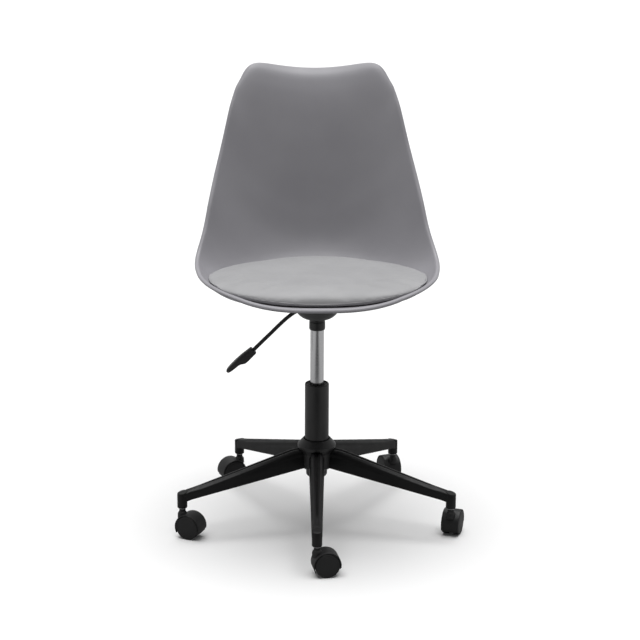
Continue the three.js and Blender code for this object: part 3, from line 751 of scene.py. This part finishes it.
def screw_mesh():
    """Pan-head screw with a hexagonal recess, its head downwards and its seat at height 0."""
    around, shank, head, depth, tip = 48, SCREW["shank"], SCREW["head"], SCREW["depth"], SCREW["tip"]
    stalk = [(0, tip), (shank - 0.6, tip), (shank, tip - 1), (shank, 0)]
    outline = stalk + eased([(shank, 0), (head, 0), (head, -depth), (shank + 0.2, -depth)], 1.1)[1:]
    points, faces = lathe([*outline, (0, -depth)], around, closed=False)
    del points[-1], faces[-2 * around + 1 :: 2]
    edge = (len(outline) - 2) * around
    for level in (-depth, -depth + 2):
        for i in range(around):
            a = i / around * TURN
            near = (a + TURN / 12) % (TURN / 6) - TURN / 12
            reach = SCREW["hexagon"] * math.cos(TURN / 12) / math.cos(near)
            points.append((reach * math.cos(a), reach * math.sin(a), level))
    first = len(points) - 2 * around
    for i in range(around):
        j = (i + 1) % around
        faces.append((edge + i, edge + j, first + j, first + i))
        faces.append((first + i, first + j, first + around + j, first + around + i))
    faces.append(tuple(first + around + i for i in range(around)))
    return points, faces


def build_screws():
    for i in range(1, 5):
        node = f"plate_screw_{i}"
        place = centre(node)
        place.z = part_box("seat_plate")[0].z - GAP * MM
        screw = make(f"pan_screw_{i}", *screw_mesh(), STEEL, Matrix.Translation(place))
        fit(screw, "seat", "bright_steel", node)


# ---------- height lever ----------


def tube_mesh(path, radius, around=24):
    """A round rod along a path in the plane of X and Z, with domed ends."""
    path = np.array(path, float)
    ways = unit(np.gradient(path, axis=0))
    side = np.array([0.0, 1.0, 0.0])
    angles = round_angles(around)
    rings = []

    def ring(at, way, size):
        up = np.cross(way, side)
        offsets = np.outer(np.cos(angles), side) + np.outer(np.sin(angles), up)
        rings.append(at + offsets * size)

    for t in (1.45, 1.1, 0.7, 0.35):
        ring(path[0] - ways[0] * 1.2 * math.sin(t), ways[0], radius - 1.2 * (1 - math.cos(t)))
    for at, way in zip(path, ways):
        ring(at, way, radius)
    for t in (0.35, 0.7, 1.1, 1.45):
        ring(path[-1] + ways[-1] * 1.2 * math.sin(t), ways[-1], radius - 1.2 * (1 - math.cos(t)))
    return np.vstack(rings), tube_faces(len(rings), around)


def grip_sections():
    """Distance down the grip, height of its lower and upper face, half width, depth of the thumb dish."""
    half = GRIP["width"] / 2
    return [
        (0.0, -7.6, 7.4, half - 1.2, 0), (0.5, -8.3, 8.1, half - 0.4, 0), (1.4, -8.6, 8.4, half, 0),
        (4.0, -8.7, 8.7, half, 0), (10, -8.8, 9.3, half, 0), (18, -9.0, 10.4, half, 0),
        (25, -9.1, 11.2, half, 0.2), (30, -9.0, 11.7, half, 0.6), (34, -7.6, 12.0, half, 1.0),
        (37, -5.2, 12.1, half, 1.3), (40, -2.9, 12.2, half, 1.5), (43.5, -1.7, 12.2, half, 1.6),
        (50, -1.1, 12.1, half, 1.6), (57, -0.4, 11.9, half - 0.3, 1.4), (63, 0.3, 11.4, half - 0.9, 1.0),
        (67.5, 1.0, 10.6, half - 2.0, 0.5), (71, 2.2, 9.2, half - 3.8, 0.1), (72.8, 4.0, 7.4, half - 6, 0),
    ]


def grip_mesh():
    around = 40
    angles = round_angles(around)
    rings = []
    for x, low, high, half, dish in grip_sections():
        c, s = np.cos(angles), np.sin(angles)
        y = half * np.sign(c) * np.abs(c) ** 0.55
        z = (low + high) / 2 + (high - low) / 2 * np.sign(s) * np.abs(s) ** 0.55
        inside = np.clip(1 - (y / (half * 0.82)) ** 2, 0, 1)
        z = z - np.where(s > 0, dish * inside, 0)
        rings.append(np.stack([np.full(around, x), y, z], axis=-1))
    return np.vstack(rings), tube_faces(len(rings), around)


def build_lever():
    path = curve_through([(x, 0, z) for x, z in LEVER_PATH], np.linspace(0.0, 1, 60))
    rod = make("lever_bar", *tube_mesh(path, LEVER_RADIUS), POWDER)
    fit(rod, "lever", "black_steel", "lever_rod")
    (tip_x, tip_z), (bend_x, bend_z) = LEVER_PATH[-1], LEVER_PATH[-2]
    down = Vector((tip_x - bend_x, 0, tip_z - bend_z)).normalized()
    side = Vector((0, 1, 0))
    up = side.cross(down)
    start = Vector((tip_x, 0, tip_z)) - down * GRIP["bore"]
    turn = Matrix((down, -side, up)).transposed()
    place = AT_COLUMN @ Matrix.Translation(start * MM) @ turn.to_4x4()
    grip = make("lever_paddle", *grip_mesh(), GRIP_PLASTIC, place)
    subdivide(grip, sharp=50)
    fit(grip, "lever", "black_plastic", "lever_grip")


# ---------- gas column ----------


def build_column():
    radius, low, high = extent("inner_cylinder")
    button, end = radius_of("release_button") + GAP, CYLINDER["end"]
    bore, way = CYLINDER["bore"], CYLINDER["rod_bore"]
    outline = [
        (way, low), (radius - 1, low), (radius, low + 1), (radius, high - 1), (radius - 1, high),
        (button, high), (button, high - end), (bore, high - end), (bore, low + end), (way, low + end),
    ]
    turned("gas_cylinder", outline, 0.6, 128, CHROME, "seat", "chrome", "inner_cylinder")

    radius, low, high = extent("outer_tube")
    foot, wall, way, taper = TUBE["foot"], TUBE["wall"], TUBE["rod_bore"], HUB["taper"]
    outline = [
        (way, low + 3.5), (foot - 5, low + 3.5), (foot - 4, low), (foot - 2, low), (foot, low + 3),
        (foot + 0.6, low_z("base_hub")), (radius, taper), (radius, high - 1.5), (radius - 1.1, high),
        (radius - wall, high), (radius - wall, taper), (foot - wall, low + 7), (foot - wall - 1, low + 6),
        (way, low + 6),
    ]
    turned("stand_tube", outline, 0.9, 128, POWDER, "base", "black_steel", "outer_tube")

    radius, low, high = extent("guide_bush")
    bore, groove = radius_of("inner_cylinder") + GAP, high - 1.2
    outline = [
        (bore, low), (radius, low), (radius, high - 0.8), (radius - 0.8, high), (bore + 4.6, high),
        (bore + 4.2, groove), (bore + 2.6, groove), (bore + 2.2, high), (bore + 1.4, high), (bore, high - 2),
    ]
    turned("bush_ring", outline, 0.4, 96, NYLON, "base", "black_plastic", "guide_bush")


# ---------- star base ----------


def build_hub():
    low, high = low_z("base_hub"), high_z("base_hub")
    body, ring, lip, bore = HUB["body"], HUB["ring"], HUB["lip"], radius_of("outer_tube") + GAP
    outline = [
        (HUB["foot"], low), (body - 6, low), (body, low + 5), (body, HUB["ring_low"] - 9),
        (ring, HUB["ring_low"]), (ring, HUB["ring_high"]), (lip, high), (lip - 0.9, high),
        (bore, high - HUB["funnel"]), (bore, HUB["taper"]),
    ]
    hub = make("hub_casting", *lathe(eased(outline, 1.1, closed=True), 144), POWDER)
    combine(hub, [recess_tool(i) for i in range(1, COUNT + 1)], "DIFFERENCE")
    fit(hub, "base", "black_steel", "base_hub")


def stem_way(i):
    """Where the caster's stem is, and which way its arm points from the column."""
    stem = centre(f"caster_stem_{i}")
    return stem, math.atan2(stem.y - COLUMN.y, stem.x - COLUMN.x)


def recess_tool(i):
    """The shallow arched recess in the hub that takes the root of an arm."""
    gap, root = ARM["recess_gap"], HUB["body"]
    half, top, low = ARM["root_half"] + gap, arm_top(root) - ARM["dip"] + gap, ARM["bottom"] - 4
    arch = [(half * math.cos(t), top - half * 0.8 * (1 - math.sin(t))) for t in np.linspace(0, math.pi, 25)]
    outline = [(half, low), *arch, (-half, low)]
    rings = [[(r, s, z) for s, z in outline] for r in (root - ARM["recess"], root + 6)]
    _, away = stem_way(i)
    turn = Matrix.Rotation(away, 4, "Z")
    return make("recess", rings[0] + rings[1], tube_faces(2, len(outline)), POWDER, AT_COLUMN @ turn)


def arm_top(r):
    return ARM["top"] - ARM["fall"] * (r - HUB["body"])


def arm_outline(r, circle):
    """Section of an arm at radius r as (side, z) points: round at the hub, flatter towards the caster."""
    t = (r - HUB["body"]) / (circle - HUB["body"])
    w = lerp(ARM["root_half"], ARM["tip_half"], t)
    top = arm_top(r) - ARM["dip"] * (1 - float(smooth(HUB["body"] - 5, HUB["body"] + 22, r)))
    bottom = ARM["bottom"] - ARM["rise"] * (r - HUB["body"])
    depth = ARM["groove"] * (1 - float(smooth(0.82, 1, r / ARM["groove_end"])))
    crease = ARM["crease"] * (1 - float(smooth(HUB["body"] + 20, HUB["body"] + 190, r)))
    peak = ARM["peak"] * (1 - float(smooth(0.9, 1, r / ARM["groove_end"])))
    shoulder = [
        (w + 0.5, bottom + 1.2), (w + 0.2, top - 20), (w, top - 14.5), (w * (1 - 0.5 * crease), top - 12.2),
        (w * (1 - crease), top - 9), (w * (1 - crease), top - 5.5 - 1.5 * peak),
        (w * (0.92 - 0.6 * crease), top - 2.6 - 4 * peak),
        (w * (0.70 - 0.08 * peak), top - 0.7 - 3.4 * peak), (w * (0.46 - 0.12 * peak), top - 0.4 * peak),
        (w * (0.26 - 0.04 * peak), top - depth * 0.2), (w * 0.13, top - depth * 0.75), (0, top - depth),
    ]
    right = curve_through([(s, z) for s, z in shoulder], np.linspace(0, 1, 41))
    left = right[-2::-1] * (-1, 1)
    inner = w - ARM["wall"]
    neck = w * (1 - crease) - ARM["wall"]
    roof = top - depth - ARM["wall"]
    hollow = eased(
        [
            (-inner, bottom), (-inner + 0.4, top - 17), (-neck, top - 12), (-neck * 0.7, roof),
            (neck * 0.7, roof), (neck, top - 12), (inner - 0.4, top - 17), (inner, bottom),
        ],
        3, steps=3,
    )
    lip = [(w + 0.5, bottom), (-w - 0.5, bottom)]
    return np.vstack([right, left, [lip[1]], hollow, [lip[0]]]), w


def arm_mesh(circle):
    """One arm along +X, ending round the hub and round its caster socket."""
    hub = HUB["body"] - ARM["recess"] + 0.3
    socket = SOCKET["radius"] + 0.3
    root_outline, _ = arm_outline(HUB["body"], circle)
    tip_outline, _ = arm_outline(circle - 4, circle)
    start = np.sqrt(hub**2 - root_outline[:, 0] ** 2)
    end = circle - np.sqrt(np.maximum(socket**2 - tip_outline[:, 0] ** 2, 14.0))
    steps = np.concatenate([[0, 0.004, 0.008], np.linspace(0.016, 0.986, 46), [0.993, 1]])
    rings = []
    for t in steps:
        r = lerp(start, end, t)
        ring = np.array([arm_outline(rr, circle)[0][i] for i, rr in enumerate(r)])
        # The end at the caster pulls in a little, which leaves a dark line at the joint.
        tuck = 0.5 if t == 1 else 0.0
        upper = ring[:, 1] > arm_top(float(np.mean(r))) - 18
        ring[:, 0] -= np.sign(ring[:, 0]) * np.minimum(np.abs(ring[:, 0]), tuck)
        ring[:, 1] -= upper * tuck
        rings.append(np.column_stack([r, ring]))
    return np.vstack(rings), tube_faces(len(rings), len(rings[0]))


def socket_mesh(circle):
    """An upright post with its top cut along the arm's slope, its axis on Z."""
    around = 64
    radius, bore, low = SOCKET["radius"], SOCKET["bore"], low_z("caster_socket_1")
    angles = round_angles(around)

    def ring(size, z):
        return np.column_stack([size * np.cos(angles), size * np.sin(angles), np.broadcast_to(z, around)])

    def slope(size, drop):
        return arm_top(circle + size * np.cos(angles)) - drop

    rings = [
        ring(bore, SOCKET["bore_end"]), ring(bore, low + 0.6), ring(bore + 0.6, low),
        ring(radius - 1.2, low), ring(radius - 0.35, low + 0.4), ring(radius, low + 1.4),
        ring(radius, low + 10), ring(radius, slope(radius, 0.9)), ring(radius - 0.3, slope(radius, 0.25)),
        ring(radius - 0.9, slope(radius - 0.9, 0)), ring(radius * 0.5, slope(radius * 0.5, 0)),
    ]
    return np.vstack(rings), tube_faces(len(rings), around)


def build_base():
    build_hub()
    first = centre("caster_stem_1")
    circle = math.hypot(first.x - COLUMN.x, first.y - COLUMN.y) / MM
    arm = arm_mesh(circle)
    socket = socket_mesh(circle)
    for i in range(1, COUNT + 1):
        stem, away = stem_way(i)
        turn = Matrix.Rotation(away, 4, "Z")
        beam = make(f"arm_beam_{i}", *arm, CAST, AT_COLUMN @ turn, sharp=50)
        fit(beam, "base", "black_steel", f"arm_{i}")
        at_stem = Matrix.Translation((stem.x, stem.y, 0)) @ turn
        post = make(f"socket_post_{i}", *socket, CAST, at_stem, sharp=50)
        fit(post, "base", "black_steel", f"caster_socket_{i}")


# ---------- casters ----------


def band_mesh(trail, half, start, end):
    """A band that curves over the wheels from one angle about the axle to another."""
    inner, outer = CASTER["in"], CASTER["out"]
    corners = [(inner, -half), (outer, -half), (outer, half), (inner, half)]
    outline = eased(corners, 0.7, closed=True, steps=3)
    turns = np.radians(np.linspace(start, end, 90))
    axle_z = WHEEL["radius"]
    points = [(r * math.cos(t) + trail, s, r * math.sin(t) + axle_z) for t in turns for r, s in outline]
    return points, tube_faces(len(turns), len(outline))


def laid_on_axle(mesh, trail, side=0.0):
    """A shape turned about Z, laid along the axle."""
    points, faces = mesh
    return [(x + trail, z + side, y + WHEEL["radius"]) for x, y, z in points], faces


def wheel_mesh(side):
    """One wheel about the axle: a plain face, a rounded tread and a hollow back round its bore."""
    r, low, high, bore = WHEEL["radius"], WHEEL["in"], WHEEL["out"], WHEEL["axle"] + GAP
    outline = [
        (0, high), (r - 4.6, high), (r - 4.3, high - 0.35), (r - 3.7, high - 0.35), (r - 3.4, high),
        (r - 1.4, high), (r, high - 1.8), (r, low + 1.2), (r - 1.2, low), (r - 3, low), (r - 4, low + 2.5),
        (bore + 4.5, low + 2.5), (bore + 3.5, low), (bore, low), (bore, high - 3.4), (0, high - 3.4),
    ]
    points, faces = lathe(eased(outline, 0.9), 96, closed=False)
    return [(x, side * z, y) for x, y, z in points], faces


def hood_piece(trail, name):
    """The caster's body: a band over both wheels, the web between them and the neck for the stem."""
    half, web, inner = CASTER["half"], CASTER["web"], CASTER["in"]
    start, end = CASTER["from"], CASTER["to"]
    piece = make(name, *band_mesh(trail, half, start, end), NYLON, sharp=42)
    # The middle of the band is a little longer at both ends than its sides.
    tongue = make("tongue", *band_mesh(trail, half - 5, start - 7, end + 5), NYLON)
    disc = eased([(0, -web), (inner + 0.9, -web), (inner + 0.9, web), (0, web)], 0.3)
    plate = make("web", *laid_on_axle(lathe(disc, 96, closed=False), trail), NYLON)
    under = make("under", *box_mesh((-30, -30, -20), (60, 30, CASTER["web_low"])), NYLON)
    combine(plate, [under], "DIFFERENCE")
    neck, high, foot = CASTER["neck"], CASTER["neck_top"], CASTER["neck_foot"]
    bore, bore_end = CASTER["stem_bore"], CASTER["stem_end"]
    profile = [
        (0, foot), (neck + 3.6, foot), (neck + 3.2, foot + 10), (neck + 1.6, foot + 13.2), (neck, foot + 15),
        (neck, high), (bore, high), (bore, bore_end), (0, bore_end),
    ]
    post = make("neck", *lathe(eased(profile, 0.8), 64, closed=False), NYLON)
    reach = half + 1
    room = lathe([(0, -reach), (inner, -reach), (inner, reach), (0, reach)], 96, closed=False)
    for side in (-1, 1):
        tool = make("room", *laid_on_axle(room, trail, side * (reach + web)), NYLON)
        combine(post, [tool], "DIFFERENCE")
    combine(piece, [tongue, plate, post], "UNION", sharp=42)
    bore, reach = WHEEL["axle"] + GAP, web * 3
    hole = lathe([(0, -reach), (bore, -reach), (bore, reach), (0, reach)], 48, closed=False)
    combine(piece, [make("hole", *laid_on_axle(hole, trail), NYLON)], "DIFFERENCE", sharp=42)
    return piece


def stem_mesh():
    """The caster's pin, with the collar that the socket rests on."""
    low, high = low_z("caster_stem_1") + 0.6, high_z("caster_stem_1")
    radius, step = CASTER["stem_bore"] - 0.5, CASTER["neck_top"] + 0.6
    collar = low_z("caster_socket_1") - GAP
    outline = [
        (0, low), (radius, low), (radius, step), (8.2, step), (8.2, collar), (5.5, collar), (5.5, high - 2),
        (3.5, high), (0, high),
    ]
    return lathe(eased(outline, 0.35), 64, closed=False)


def build_casters():
    stem_shape = stem_mesh()
    first_stem, first_axle = centre("caster_stem_1"), centre("caster_axle_1")
    trail = math.hypot(first_axle.x - first_stem.x, first_axle.y - first_stem.y) / MM
    hood_source = hood_piece(trail, "hood_source")
    wheel_shapes = {"left": wheel_mesh(1), "right": wheel_mesh(-1)}
    for i in range(1, COUNT + 1):
        stem, axle = centre(f"caster_stem_{i}"), centre(f"caster_axle_{i}")
        turn = Matrix.Rotation(math.atan2(axle.y - stem.y, axle.x - stem.x), 4, "Z")
        at_stem = Matrix.Translation((stem.x, stem.y, 0)) @ turn
        pin = make(f"stem_pin_{i}", *stem_shape, STEEL, at_stem)
        fit(pin, "base", "bright_steel", f"caster_stem_{i}")
        hood = show(f"twin_hood_{i}", hood_source.data.copy(), at_stem)
        fit(hood, f"caster_{i}", "black_plastic", f"caster_hood_{i}")
        at_axle = Matrix.Translation(axle) @ turn
        for side, shape in wheel_shapes.items():
            wheel = make(f"caster_wheel_{side}_{i}", *shape, NYLON, at_axle)
            fit(wheel, f"wheel_{side}_{i}", "black_plastic", f"wheel_{side}_{i}")
    bpy.data.objects.remove(hood_source)


# ---------- CAD nodes that stay ----------


def dress(node, material, bevel=0.0):
    """A CAD node keeps its shape and gets a finish, and eased edges if it has a bevel in millimetres."""
    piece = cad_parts[node]
    piece.data.materials.clear()
    piece.data.materials.append(material)
    piece.data.shade_smooth()
    piece.data.set_sharp_from_angle(angle=math.radians(40))
    if bevel:
        edge = piece.modifiers.new("edge", "BEVEL")
        edge.width = bevel * MM
        edge.segments = 2
        edge.limit_method = "ANGLE"
        edge.angle_limit = math.radians(50)


def dress_kept_nodes():
    dress("cushion_board", WOOD, 0.6)
    dress("seat_plate", ENAMEL, 0.6)
    dress("rubber_bumper", RUBBER)
    for node in ("piston_rod", "thrust_bearing", "bearing_washer", "retaining_clip", "release_button"):
        dress(node, STEEL)
    for i in range(1, COUNT + 1):
        dress(f"caster_axle_{i}", STEEL)


# ---------- studio ----------

# How strong the light from each way is, and how sharply it gathers there; the sun is a wide soft one.
STUDIO = {
    "front": 0.0, "sides": (0.50, 2.5), "back": (0.6, 2.0), "above": (0.26, 1.0),
    "sun": 3.35, "softness": 60, "tilt": -2,
}
FLOOR_SEEN = 0.86
# How bright the floor looks to the chair, from one distance to another: pale at its sides and near it,
# dark further in front.
FLOOR_ASIDE = (0.3, 0.95, 0.08, 0.41)
FLOOR_NEAR = (-0.95, -0.5, 0.08, 0.33)
CAMERA = {
    "place": (-0.1131, -3.5982, 1.4707), "heading": 0.0330, "pitch": 0.2792, "roll": 0.0048, "lens": 102.7,
}


def empty_tree(owner):
    owner.use_nodes = True
    tree = owner.node_tree
    tree.nodes.clear()
    return tree, tree.nodes, tree.links


def math_node(tree, operation, *values):
    """A Math node of that operation; a number fills its socket and an output is linked to it."""
    node = tree.nodes.new("ShaderNodeMath")
    node.operation = operation
    for socket, value in zip(node.inputs, values):
        if isinstance(value, float):
            socket.default_value = value
        else:
            tree.links.new(value, socket)
    return node.outputs[0]


def show_camera(tree, seen, thrown, output):
    """The camera meets one shader and every other ray meets the other one."""
    path, mix, out = (tree.nodes.new(k) for k in ("ShaderNodeLightPath", "ShaderNodeMixShader", output))
    tree.links.new(path.outputs["Is Camera Ray"], mix.inputs["Fac"])
    tree.links.new(thrown.outputs[0], mix.inputs[1])
    tree.links.new(seen.outputs[0], mix.inputs[2])
    tree.links.new(mix.outputs["Shader"], out.inputs["Surface"])


def build_floor():
    """A pale floor. What it throws back on the chair is dimmer than what the camera sees of it."""
    size = 60.0
    corners = [(-size, -size, 0), (size, -size, 0), (size, size, 0), (-size, size, 0)]
    mesh = bpy.data.meshes.new("floor")
    mesh.from_pydata(corners, [], [(0, 1, 2, 3)])
    material = bpy.data.materials.new("pale_floor")
    tree, nodes, links = empty_tree(material)
    seen, thrown = nodes.new("ShaderNodeBsdfDiffuse"), nodes.new("ShaderNodeBsdfDiffuse")
    seen.inputs["Color"].default_value = (*(FLOOR_SEEN,) * 3, 1)
    where, parts = nodes.new("ShaderNodeTexCoord"), nodes.new("ShaderNodeSeparateXYZ")
    links.new(where.outputs["Object"], parts.inputs["Vector"])
    aside = math_node(tree, "ABSOLUTE", parts.outputs["X"])
    ways = (aside, FLOOR_ASIDE), (parts.outputs["Y"], FLOOR_NEAR)
    paler = [map_range(tree, value, limits, "SMOOTHSTEP") for value, limits in ways]
    links.new(math_node(tree, "MAXIMUM", *paler), thrown.inputs["Color"])
    show_camera(tree, seen, thrown, "ShaderNodeOutputMaterial")
    mesh.materials.append(material)
    show("studio_floor", mesh)


def light_studio():
    """White all round for the camera; for the chair, bright above and at the sides and dim in front."""
    world = bpy.data.worlds.new("studio")
    bpy.context.scene.world = world
    tree, nodes, links = empty_tree(world)
    parts = nodes.new("ShaderNodeSeparateXYZ")
    links.new(nodes.new("ShaderNodeTexCoord").outputs["Generated"], parts.inputs["Vector"])
    ways = {
        "sides": math_node(tree, "ABSOLUTE", parts.outputs["X"]),
        "back": parts.outputs["Y"],
        "above": parts.outputs["Z"],
    }
    level = STUDIO["front"]
    for name, way in ways.items():
        strength, power = STUDIO[name]
        bent = math_node(tree, "POWER", math_node(tree, "MAXIMUM", way, 0.0), power)
        level = math_node(tree, "MULTIPLY_ADD", bent, strength, level)
    lit, plain = nodes.new("ShaderNodeBackground"), nodes.new("ShaderNodeBackground")
    links.new(level, lit.inputs["Strength"])
    plain.inputs["Color"].default_value = (1, 1, 1, 1)
    show_camera(tree, plain, lit, "ShaderNodeOutputWorld")

    lamp = bpy.data.lights.new("top_softbox", "SUN")
    lamp.energy = STUDIO["sun"]
    lamp.angle = math.radians(STUDIO["softness"])
    show("top_softbox", lamp, Matrix.Rotation(math.radians(STUDIO["tilt"]), 4, "X"))


def place_camera():
    """The camera stands in front of the chair, a little above it, and looks down."""
    lens = bpy.data.cameras.new("camera")
    lens.lens = CAMERA["lens"]
    lens.sensor_width = 36
    lens.clip_end = 200
    heading, pitch, roll = CAMERA["heading"], CAMERA["pitch"], CAMERA["roll"]
    level = math.cos(pitch)
    ahead = Vector((math.sin(heading) * level, math.cos(heading) * level, -math.sin(pitch)))
    right = Vector((math.cos(heading), -math.sin(heading), 0))
    up = right.cross(ahead)
    rolled = right * math.cos(roll) + up * math.sin(roll)
    turn = Matrix((rolled, rolled.cross(ahead), -ahead)).transposed()
    place = Matrix.Translation(COLUMN + Vector(CAMERA["place"])) @ turn.to_4x4()
    bpy.context.scene.camera = show("camera", lens, place)
    bpy.context.scene.view_settings.view_transform = "Standard"


# ---------- the whole scene ----------

place_camera()
light_studio()
build_floor()
build_shell()
build_pad()
build_dish()
build_collar()
build_screws()
build_lever()
build_column()
build_base()
build_casters()
dress_kept_nodes()
